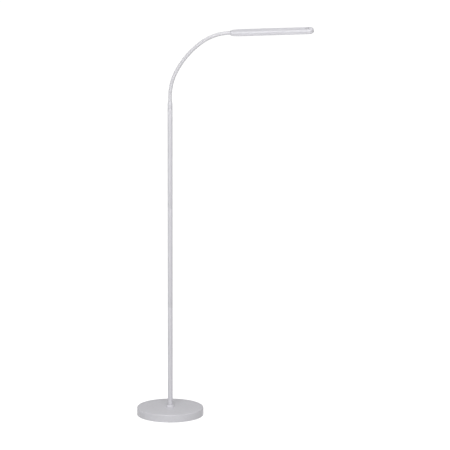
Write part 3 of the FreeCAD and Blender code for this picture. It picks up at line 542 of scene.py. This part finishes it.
screwForm = {  # shares of the head's radius and height
    "rim": 0.45, "shoulder": (0.86, 0.82), "face": 0.55,
    "crossLength": 0.5, "crossWidth": 0.18, "crossStart": 0.35,
    "overcut": 0.5,  # in mm, so that the cross is open
    "sides": 32,
}


def panScrew(headRadius, headHeight, shankRadius, shankLength):
    # head down, with a cross recess
    shoulder, drop = screwForm["shoulder"]
    profile = [(shankRadius, shankLength), (shankRadius, 0), (headRadius, 0),
               (headRadius, -headHeight * screwForm["rim"]),
               (headRadius * shoulder, -headHeight * drop),
               (headRadius * screwForm["face"], -headHeight)]
    screw = turned("panScrew", profile, screwForm["sides"])
    edit(screw)
    bpy.ops.mesh.fill_holes(sides=0)
    bpy.ops.mesh.normals_make_consistent(inside=False)
    bpy.ops.object.mode_set(mode="OBJECT")
    half, slit = headRadius * screwForm["crossLength"], headRadius * screwForm["crossWidth"]
    for turn in (0, math.pi / 2):
        blade = slab("cutter", [(-half, -slit), (half, -slit), (half, slit), (-half, slit)],
                     -headHeight - screwForm["overcut"], -headHeight * screwForm["crossStart"])
        cutAway(screw, placed(blade, Matrix.Rotation(turn, 4, "Z")))
    return screw


def screwSet(name, screw, spots):
    copies = [placed(copied(screw, name), shifted(*spot)) for spot in spots]
    bpy.data.objects.remove(screw, do_unlink=True)
    piece = joined(name, copies)
    smooth(piece)
    return piece


baseScrew = {
    "count": 3, "circle": 88.0, "firstTurn": 30.0, "height": 3.0,
    "size": (3.3, 2.2, 1.65, 8.0),  # radius and height of the head, radius and length of the shank
}


def baseScrews():
    circle, apart = baseScrew["circle"], 360 / baseScrew["count"]
    turns = [math.radians(baseScrew["firstTurn"] + apart * n) for n in range(baseScrew["count"])]
    spots = [(circle * math.cos(t), circle * math.sin(t), baseScrew["height"]) for t in turns]
    piece = screwSet("baseScrews", panScrew(*baseScrew["size"]), spots)
    ready(piece, "stand", ["base_screws"], "zinc_steel")


baseShell()
cordGrommet()
baseScrews()
print("base made")


pole = {
    "radius": 8.5, "wall": 1.2, "section": 354.9, "steps": 6, "sides": 72,
    "gap": 0.05,  # from the end of a section to its seam
    "seam": [(0.448, 0.05), (0.112, 0.112), (0, 0.392)],  # inwards, and from the end
    "sections": [("poleLower", "pole_lower"), ("poleMiddle", "pole_middle"),
                 ("poleUpper", "pole_upper")],
}
poleTop = base["height"] + len(pole["sections"]) * pole["section"]


def poleSection(number, name, replaced):
    low = base["height"] + number * pole["section"]
    high = low + pole["section"]
    outside, inside = pole["radius"], pole["radius"] - pole["wall"]
    profile = [(inside, low + pole["gap"])]
    profile += [(outside - depth, low + along) for depth, along in pole["seam"]]
    profile += [(outside, low + (high - low) * n / pole["steps"])
                for n in range(1, pole["steps"])]
    profile += [(outside - depth, high - along) for depth, along in reversed(pole["seam"])]
    profile += [(inside, high - pole["gap"]), (inside, low + pole["gap"])]
    piece = turned(name, profile, pole["sides"])
    smooth(piece)
    ready(piece, "stand", [replaced], "white_paint")


collar = {
    "height": 8.0, "bore": 8.8, "foot": 13.5, "neck": 10.2,
    "skirt": 2.4, "lip": 0.25,  # straight stretches below and above the flare
    "chamfer": 0.3, "mouth": 0.2,
    "steps": 10, "sides": 96,
}


def poleCollar():
    low, high = base["height"], base["height"] + collar["height"]
    bore, foot, slim, chamfer = (collar[key] for key in ("bore", "foot", "neck", "chamfer"))
    profile = [(bore, low), (foot - chamfer, low), (foot, low + chamfer)]
    profile += flare(foot, slim, low + collar["skirt"], high - collar["lip"], collar["steps"])
    profile += [(slim - chamfer, high), (bore + collar["mouth"], high), (bore, high - chamfer),
                (bore, low)]
    piece = turned("poleCollar", profile, collar["sides"])
    smooth(piece)
    ready(piece, "stand", ["pole_collar"], "white_paint")


ferrule = {
    "below": 3.0,  # from its top to the first pivot
    "groove": [(7.0, 0), (7.9, 0), (8.2, 0.45), (8.4, 0.9)],  # at its foot
    "wide": 8.4, "narrow": 6.55, "straight": 12.0, "lipHeight": 0.5,
    "lip": [(6.4, -0.15), (6.2, 0), (5.9, -0.1), (5.9, -4), (7.0, -6)],
    "steps": 14, "sides": 72,
}


def neckFerrule():
    # screws onto the pole, with a rolled lip where the gooseneck leaves it
    low, high = poleTop, neck["foot"] - ferrule["below"]
    foot = lifted(ferrule["groove"], low)
    taper = flare(ferrule["wide"], ferrule["narrow"], low + ferrule["straight"],
                  high - ferrule["lipHeight"], ferrule["steps"])
    profile = foot + taper + lifted(ferrule["lip"], high) + foot[:1]
    piece = turned("neckFerrule", profile, ferrule["sides"])
    smooth(piece)
    ready(piece, "stand", ["neck_ferrule"], "white_paint")


for number, (name, replaced) in enumerate(pole["sections"]):
    poleSection(number, name, replaced)
poleCollar()
neckFerrule()
print("pole made")


def neckGuide():
    # the curve that the straight sleeve is bent along
    deselectAll()
    curve = bpy.data.curves.new("neckGuide", "CURVE")
    curve.dimensions = "3D"
    spline = curve.splines.new("POLY")
    count = int((neckLength + 2 * neck["lead"]) / neck["guideStep"]) + 1
    distances = [neck["guideStep"] * n - neck["lead"] for n in range(count)]
    spline.points.add(count - 1)
    for point, distance in zip(spline.points, distances):
        point.co = (*(neckAt(distance)[0] * mm), 1)
    guide = bpy.data.objects.new("neckGuide", curve)
    bpy.context.collection.objects.link(guide)
    return guide


def neckRib():
    # one winding of the sleeve, from valley to valley
    profile = [(neck["radius"] - neck["ribDepth"] * inwards, ribPitch * along)
               for along, inwards in neck["ribShape"]]
    return turned("neckRib", profile, neck["sides"])


def ribbedSleeve(name, rib, guide, firstRib, count):
    # ribs are counted from the first pivot, repeated with an Array and bent along the guide
    sleeve = copied(rib, name)
    applyModifier(sleeve, "ARRAY", count=count, use_relative_offset=False,
                  use_constant_offset=True, constant_offset_displace=(0, 0, ribPitch * mm),
                  use_merge_vertices=True, merge_threshold=touching)
    placed(sleeve, shifted(x=firstRib * ribPitch + neck["lead"]) @ alongX)
    applyModifier(sleeve, "CURVE", object=guide, deform_axis="POS_X")
    applyModifier(sleeve, "SOLIDIFY", thickness=neck["wall"] * mm, offset=-1.0)
    smooth(sleeve, neck["sharp"])
    return sleeve


def neckBand(number):
    # round band inside a parted sleeve, so that no gap opens at its bend
    outer, inner = neck["radius"] - neck["ribDepth"], neck["radius"] - neck["wall"]
    reach, steps = neck["bandReach"], neck["bandSteps"]
    profile = arc((0, 0), outer, -reach, reach, steps) + arc((0, 0), inner, reach, -reach, steps)
    band = turned(f"neckBand{number:02d}", profile + profile[:1], neck["sides"])
    pivot, lean = neckAt(linkLength * number)
    placed(band, Matrix.Translation(pivot * mm) @ Matrix.Rotation(lean, 4, "Y"))
    smooth(band, neck["sharp"])
    ready(band, neckBodies[number], [], "neck_paint")


def partedSleeve(number, rib, guide, firstRib):
    # two stiff halves that meet half a rib above the pivot
    name, half = f"neckSleeve{number:02d}", neck["ribsPerLink"] // 2 + 1
    lower = ribbedSleeve(name, rib, guide, firstRib, half)
    upper = ribbedSleeve(f"{name}Upper", rib, guide, firstRib + half, neck["ribsPerLink"] - half)
    ready(lower, neckBodies[number], [], "neck_paint")
    ready(upper, neckBodies[number + 1], [f"gooseneck_{number + 1:02d}"], "neck_paint")
    neckBand(number)


def softSleeve(number, rib, guide, firstRib):
    # the sleeve crosses one pivot; it is bent along the guide but not attached to any body
    count, below, above = neck["ribsPerLink"], neck["reach"], neck["reach"]
    if number == 0:
        firstRib += count - neck["footRibs"]
        count, below = neck["footRibs"], neck["footReach"]
    elif number == neck["links"]:
        count, above = neck["endRibs"], neck["endReach"]
    sleeve = ribbedSleeve(f"neckSleeve{number:02d}", rib, guide, firstRib, count)
    replaced = [f"gooseneck_{number + 1:02d}"] if number < neck["links"] else []
    ready(sleeve, None, replaced, "neck_paint")
    low, high = (neckAt(linkLength * number + step)[0] * mm for step in (-below, above))
    neckBodies[number + 1]
    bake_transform(sleeve)


def gooseneck():
    guide, rib = neckGuide(), neckRib()
    for number in range(neck["links"] + 1):
        shape = partedSleeve if number in neck["parted"] else softSleeve
        shape(number, rib, guide, (number - 0.5) * neck["ribsPerLink"])
    bpy.data.objects.remove(rib, do_unlink=True)
    bpy.data.objects.remove(guide, do_unlink=True)


connector = {
    "profile": [  # radius, and distance from the last pivot
        (2.5, 1.2), (5.9, 1.2), (6.2, 1.45),  # short barrel
        (5.2, 1.55), (5.2, 2.9),  # groove
        (8.0, 3.05), (8.15, 3.3), (8.15, 4.7), (7.9, 5.0),  # flange that the head seats on
        (3.9, 5.0), (3.9, 14.0), (2.5, 14.0), (2.5, 1.2),  # stem and bore
    ],
    "sides": 64,
}


def neckConnector():
    piece = turned("neckConnector", connector["profile"], connector["sides"])
    placed(piece, headPlace @ alongX)
    smooth(piece)
    ready(piece, "head", ["neck_connector"], "white_paint")


gooseneck()
neckConnector()
print("gooseneck made")


head = {
    "start": 5.0, "length": 300.0, "width": 28.0, "height": 17.0, "tailWidth": 17.3,
    "shoulder": 31.0, "wall": 2.0, "topEdge": 6.0, "bottomEdge": 4.4, "edgeSteps": 8,
    "shoulderSteps": 14, "sideSteps": 8, "tipSteps": 40,
    "draft": (0.995, 0.8, 1),  # the inside is smaller at its closed end
    "softEdge": (0.18, 2, 40),  # width, segments and degrees
    "stemHole": (4.2, -3.0, 12.0),  # radius, start and end
    "touchHole": (5.95, 7.5, 12.0, 64),
    "screwHole": (2.4, -12.0, -6.9),
    "touch": 284.0,  # middle of the touch key
    "window": (46.0, 274.0, 15.2),  # start, end and width
    "windowCut": (-6.0, -12.0),
    "screws": [(26.0, -6.0), (26.0, 6.0), (297.0, 0.0)],
    "screwRise": 1.6,  # from the underside to the seats of the screws
    "screwSize": (2.1, 1.4, 1.1, 10.0),
}
head["end"] = head["start"] + head["length"]


def headCorners():
    # from above: narrow tail, convex shoulders, straight sides and a round tip
    half, rise = head["width"] / 2, (head["width"] - head["tailWidth"]) / 2
    start, shoulder, tip = head["start"], head["shoulder"], head["end"] - half
    shares = [1 - n / head["shoulderSteps"] for n in range(head["shoulderSteps"])]
    side = [(start + shoulder * (1 - s), half - rise * s * s) for s in shares]
    side += [(start + shoulder + (tip - start - shoulder) * n / head["sideSteps"], half)
             for n in range(head["sideSteps"])]
    roundTip = arc((tip, 0), half, -90, 90, head["tipSteps"])
    return [(x, -y) for x, y in side] + roundTip + side[::-1]


def headHalf(name, side, edge):
    # the outline is extruded, its outer rim rounded, and the open side inset and pushed in
    face, depth = side * head["height"] / 2, side * (head["height"] / 2 - head["wall"]) * mm
    piece = slab(name, headCorners(), 0, face)

    def onRim(line):
        return all(abs(piece.data.vertices[v].co.z - face * mm) < sameHeight for v in line.vertices)

    def openSide(polygon):
        return abs(polygon.center.z) < sameHeight and abs(polygon.normal.z) > 0.9

    choose(piece, "EDGE", onRim)
    bpy.ops.mesh.bevel(offset=edge * mm, segments=head["edgeSteps"], profile=0.5,
                       affect="EDGES", clamp_overlap=False)
    choose(piece, "FACE", openSide)
    bpy.ops.mesh.inset(thickness=head["wall"] * mm, use_even_offset=True)
    bpy.ops.mesh.extrude_region_move(TRANSFORM_OT_translate={"value": (0, 0, depth)})
    middle = (head["start"] + head["length"] / 2) * mm
    bpy.ops.transform.resize(value=head["draft"], center_override=(middle, 0, depth))
    bpy.ops.object.mode_set(mode="OBJECT")
    closeUp(piece)
    return piece


def headPiece(piece, replaced, slotName):
    smooth(piece)
    placed(piece, headPlace)
    ready(piece, "head", [replaced], slotName)


def headCover():
    piece = headHalf("headCover", 1, head["topEdge"])
    cutAway(piece, placed(rod(*head["touchHole"]), shifted(x=head["touch"])),
            placed(rod(*head["stemHole"]), alongX))
    softenEdges(piece, *head["softEdge"])
    headPiece(piece, "head_cover", "white_plastic")


def headTray():
    piece = headHalf("headTray", -1, head["bottomEdge"])
    start, end, width = head["window"]
    cutAway(piece, slab("cutter", slotCorners(start, end, width / 2), *head["windowCut"]),
            placed(rod(*head["stemHole"]), alongX))
    for x, y in head["screws"]:
        cutAway(piece, placed(rod(*head["screwHole"]), shifted(x, y)))
    softenEdges(piece, *head["softEdge"])
    headPiece(piece, "head_tray", "white_plastic")


lightStrip = {
    "gap": 0.3, "flange": 2.1,  # smaller and larger than the window
    "front": -8.45, "back": -6.5, "flangeBack": -5.3,
    "softEdge": (0.4, 3, 60),
}


def diffuser():
    # opal strip just inside the tray's face, with a flange behind the window
    start, end, width = head["window"]
    gap, reach, back = lightStrip["gap"], lightStrip["flange"], lightStrip["back"]
    plug = slab("diffuser", slotCorners(start + gap, end - gap, width / 2 - gap), back,
                lightStrip["front"])
    softenEdges(plug, *lightStrip["softEdge"])
    flange = slab("flange", slotCorners(start - reach, end + reach, width / 2 + reach), back,
                  lightStrip["flangeBack"])
    headPiece(joined("diffuser", [plug, flange]), "diffuser", "opal")


touchPad = {  # radius and height
    "key": [(4.85, 7.5), (4.85, 8.3), (4.7, 8.42), (4.4, 8.42), (3.2, 8.3), (1.6, 8.22),
            (0.02, 8.2)],  # a shallow dish for the fingertip
    "ring": [(4.95, 7.5), (4.95, 8.35), (5.1, 8.48), (5.7, 8.48), (5.85, 8.35), (5.85, 7.5),
             (4.95, 7.5)],
    "sides": 64,
}


def touchPiece(name, profile, filled, replaced, slotName):
    piece = turned(name, profile, touchPad["sides"], filled)
    placed(piece, headPlace @ shifted(x=head["touch"]))
    smooth(piece)
    ready(piece, "head", [replaced], slotName)


def headScrews():
    height = head["screwRise"] - head["height"] / 2
    spots = [(x, y, height) for x, y in head["screws"]]
    piece = screwSet("headScrews", panScrew(*head["screwSize"]), spots)
    placed(piece, headPlace)
    ready(piece, "head", ["head_screws"], "zinc_steel")


headCover()
headTray()
diffuser()
touchPiece("touchKey", touchPad["key"], True, "touch_key", "key_plastic")
touchPiece("touchRing", touchPad["ring"], False, "touch_ring", "ring_grey")
headScrews()
print("head made")


studio = {
    "azimuth": 18.0, "elevation": 14.2,
    "distance": 70.0, "across": 1.559,  # far away, so nearly parallel
    "sensor": 36, "clip": 200,
    "aim": (0.1897, 0.6562),  # middle of the picture, right of and above the origin in the view
    "world": 0.405, "floor": 0.55, "glow": 0.82, "floorSize": 60, "floorRough": 0.9,
    "lights": {  # place, aim, width, height, power
        "front": ((0.8, -3.0, 2.0), (0.1, 0, 1.0), 2.2, 2.2, 44),
        "high": ((0.6, -2.0, 3.5), (0.1, 0, 1.2), 2.4, 2.4, 38),
        "left": ((-2.4, -2.2, 1.9), (0, 0, 0.9), 1.6, 1.6, 4),
    },
}


def addCamera():
    a, e = math.radians(studio["azimuth"]), math.radians(studio["elevation"])
    onward = Vector((-math.sin(a) * math.cos(e), math.cos(a) * math.cos(e), -math.sin(e)))
    right = Vector((math.cos(a), math.sin(a), 0))
    upward = right.cross(onward)
    target = right * studio["aim"][0] + upward * studio["aim"][1]
    camera = bpy.data.cameras.new("camera")
    camera.sensor_width = studio["sensor"]
    camera.lens = studio["sensor"] * studio["distance"] / studio["across"]
    camera.clip_end = studio["clip"]
    viewer = bpy.data.objects.new("camera", camera)
    bpy.context.collection.objects.link(viewer)
    viewer.location = target - onward * studio["distance"]
    viewer.rotation_euler = onward.to_track_quat("-Z", "Y").to_euler()
    bpy.context.scene.camera = viewer


def addSoftLight(name, place, aim, width, height, power):
    light = bpy.data.lights.new(name, "AREA")
    light.shape, light.size, light.size_y, light.energy = "RECTANGLE", width, height, power
    lamp = bpy.data.objects.new(name, light)
    bpy.context.collection.objects.link(lamp)
    lamp.location = place
    lamp.rotation_euler = (Vector(aim) - Vector(place)).to_track_quat("-Z", "Y").to_euler()


def addFloor():
    # grey to the light, and white to the camera and in reflections
    deselectAll()
    bpy.ops.mesh.primitive_plane_add(size=studio["floorSize"], location=(0, 0, 0))
    floor = added("floor")
    finish = Finish("whiteFloor")
    seen = finish.node("ShaderNodeLightPath", {}, {}, "Is Camera Ray")
    mirrored = finish.node("ShaderNodeLightPath", {}, {}, "Is Glossy Ray")
    passed = finish.node("ShaderNodeLightPath", {}, {}, "Is Transmission Ray")
    grey, strength = studio["floor"], studio["glow"]
    finish.set(Base_Color=(grey, grey, grey, 1), Roughness=studio["floorRough"],
               Specular_IOR_Level=0.0)
    plain = Value(finish, finish.shader.outputs[0])
    glow = finish.node("ShaderNodeEmission", {}, {"Color": (1, 1, 1, 1), "Strength": strength})
    both = finish.node("ShaderNodeAddShader", {}, {0: plain, 1: glow})
    shares = {0: seen + mirrored + passed, 1: plain, 2: both}
    mix = finish.node("ShaderNodeMixShader", {}, shares)
    finish.feed(finish.output.inputs["Surface"], mix)
    floor.data.materials.append(finish.material)


def addWorld():
    # a plain level for the light, and white to the camera
    world = bpy.data.worlds.new("studio")
    bpy.context.scene.world = world
    world.use_nodes = True
    tree = world.node_tree
    back = tree.nodes["Background"]
    back.inputs["Color"].default_value = (1, 1, 1, 1)
    path = tree.nodes.new("ShaderNodeLightPath")
    shown = tree.nodes.new("ShaderNodeMath")
    shown.operation = "MAXIMUM"
    tree.links.new(path.outputs["Is Camera Ray"], shown.inputs[0])
    tree.links.new(path.outputs["Is Transmission Ray"], shown.inputs[1])
    strength = tree.nodes.new("ShaderNodeMix")  # 2 and 3 are its two numbers
    strength.inputs[2].default_value, strength.inputs[3].default_value = studio["world"], 1.0
    tree.links.new(shown.outputs[0], strength.inputs[0])
    tree.links.new(strength.outputs[0], back.inputs["Strength"])


addCamera()
addFloor()
addWorld()
for name, light in studio["lights"].items():
    addSoftLight(name, *light)
bpy.context.scene.view_settings.view_transform = "Standard"
print("studio made")
